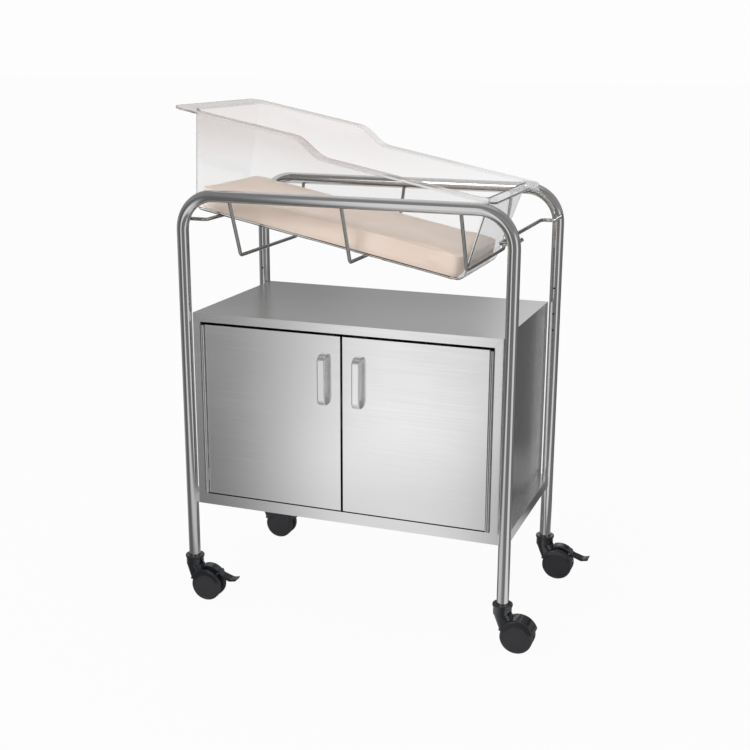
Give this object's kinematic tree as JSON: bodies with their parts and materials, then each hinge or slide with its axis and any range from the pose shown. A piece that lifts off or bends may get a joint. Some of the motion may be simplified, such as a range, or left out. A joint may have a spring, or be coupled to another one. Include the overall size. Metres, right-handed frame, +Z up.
{
  "type": "hospital bassinet",
  "caption": "Hospital bassinet: clear tub set head up in a steel tube frame on casters, above a stainless steel cabinet with double doors.",
  "frame": {"origin": "On the floor, in the middle of the whole bassinet's box.", "axes": "+X towards the foot end, where the casters' trailing sides point; +Y towards the closed back of the cabinet; +Z up."},
  "size_m": [0.8248, 0.4266, 1.0677],
  "materials": {
    "steel_tube": "satin polished stainless tube",
    "steel_rod": "satin stainless rod",
    "steel_sheet": "fine polished stainless sheet",
    "steel_hinge": "plain stainless",
    "handle_steel": "satin chromed",
    "zinc_steel": "zinc plated",
    "clear_acrylic": "clear, polished, faintly rosy",
    "mattress_vinyl": "matt coated cover, peach",
    "wheel_nylon": "matt black",
    "caster_nylon": "moulded, glossy black",
    "black_plastic": "black moulding"
  },
  "bodies": {
    "frame": {"front_hoop": "steel_tube", "rear_hoop": "steel_tube", "hanger_head": "steel_rod", "hanger_middle": "steel_rod", "hanger_foot": "steel_rod", "head_rest_bar": "steel_rod", "foot_rest_bar": "steel_rod", "base_pan": "steel_sheet", "cabinet_floor": "steel_sheet", "left_side_panel": "steel_sheet", "right_side_panel": "steel_sheet", "back_panel": "steel_sheet", "top_panel": "steel_sheet", "left_stile": "steel_sheet", "right_stile": "steel_sheet", "head_rail": "steel_sheet", "shelf": "steel_sheet", "shelf_clips": "steel_sheet", "door_catches": "black_plastic", "left_frame_leaf": "steel_hinge", "left_hinge_pin": "steel_hinge", "right_frame_leaf": "steel_hinge", "right_hinge_pin": "steel_hinge", "tube_sockets": "black_plastic", "caster_stems": "zinc_steel"},
    "left_door": {"left_door_skin": "steel_sheet", "left_door_liner": "steel_sheet", "left_strike_plate": "steel_hinge", "left_handle": "handle_steel", "left_handle_screws": "steel_hinge", "left_door_leaf": "steel_hinge"},
    "right_door": {"right_door_skin": "steel_sheet", "right_door_liner": "steel_sheet", "right_strike_plate": "steel_hinge", "right_handle": "handle_steel", "right_handle_screws": "steel_hinge", "right_door_leaf": "steel_hinge"},
    "tub": {"tub": "clear_acrylic"},
    "mattress": {"mattress": "mattress_vinyl"},
    "front_left_swivel": {"front_left_hood": "caster_nylon", "front_left_axle": "zinc_steel", "front_left_pedal_pin": "zinc_steel"},
    "front_left_wheel_pair": {"front_left_wheels": "wheel_nylon"},
    "front_left_brake": {"front_left_pedal": "caster_nylon"},
    "front_right_swivel": {"front_right_hood": "caster_nylon", "front_right_axle": "zinc_steel"},
    "front_right_wheel_pair": {"front_right_wheels": "wheel_nylon"},
    "rear_right_swivel": {"rear_right_hood": "caster_nylon", "rear_right_axle": "zinc_steel", "rear_right_pedal_pin": "zinc_steel"},
    "rear_right_wheel_pair": {"rear_right_wheels": "wheel_nylon"},
    "rear_right_brake": {"rear_right_pedal": "caster_nylon"},
    "rear_left_swivel": {"rear_left_hood": "caster_nylon", "rear_left_axle": "zinc_steel"},
    "rear_left_wheel_pair": {"rear_left_wheels": "wheel_nylon"}
  },
  "joints": [
    {"name": "left_door_hinge", "type": "hinge", "parent": "frame", "child": "left_door", "pos_m": [-0.35704, -0.1937, 0.43425], "axis": [0, 0, -1], "range_deg": [0, 135]},
    {"name": "right_door_hinge", "type": "hinge", "parent": "frame", "child": "right_door", "pos_m": [0.26896, -0.1937, 0.43425], "axis": [0, 0, 1], "range_deg": [0, 135]},
    {"name": "tub_lift", "type": "slide", "parent": "frame", "child": "tub", "axis": [0, 0, 1], "range_m": [0, 0.25]},
    {"name": "mattress_lift", "type": "slide", "parent": "tub", "child": "mattress", "axis": [0.1959, 0, 0.9806], "range_m": [0, 0.2]},
    {"name": "front_left_swivel_turn", "type": "hinge", "parent": "frame", "child": "front_left_swivel", "pos_m": [-0.39404, -0.1923, 0.094], "axis": [0, 0, 1], "continuous": true},
    {"name": "front_left_wheel_spin", "type": "hinge", "parent": "front_left_swivel", "child": "front_left_wheel_pair", "pos_m": [-0.36104, -0.1923, 0.0338], "axis": [0, 1, 0], "continuous": true},
    {"name": "front_left_brake_press", "type": "hinge", "parent": "front_left_swivel", "child": "front_left_brake", "pos_m": [-0.33422, -0.1923, 0.06358], "axis": [0, 1, 0], "range_deg": [0, 12]},
    {"name": "front_right_swivel_turn", "type": "hinge", "parent": "frame", "child": "front_right_swivel", "pos_m": [0.30596, -0.1923, 0.094], "axis": [0, 0, 1], "continuous": true},
    {"name": "front_right_wheel_spin", "type": "hinge", "parent": "front_right_swivel", "child": "front_right_wheel_pair", "pos_m": [0.33896, -0.1923, 0.0338], "axis": [0, 1, 0], "continuous": true},
    {"name": "rear_right_swivel_turn", "type": "hinge", "parent": "frame", "child": "rear_right_swivel", "pos_m": [0.30596, 0.1923, 0.094], "axis": [0, 0, 1], "continuous": true},
    {"name": "rear_right_wheel_spin", "type": "hinge", "parent": "rear_right_swivel", "child": "rear_right_wheel_pair", "pos_m": [0.33896, 0.1923, 0.0338], "axis": [0, 1, 0], "continuous": true},
    {"name": "rear_right_brake_press", "type": "hinge", "parent": "rear_right_swivel", "child": "rear_right_brake", "pos_m": [0.36578, 0.1923, 0.06358], "axis": [0, 1, 0], "range_deg": [0, 12]},
    {"name": "rear_left_swivel_turn", "type": "hinge", "parent": "frame", "child": "rear_left_swivel", "pos_m": [-0.39404, 0.1923, 0.094], "axis": [0, 0, 1], "continuous": true},
    {"name": "rear_left_wheel_spin", "type": "hinge", "parent": "rear_left_swivel", "child": "rear_left_wheel_pair", "pos_m": [-0.36104, 0.1923, 0.0338], "axis": [0, 1, 0], "continuous": true}
  ]
}
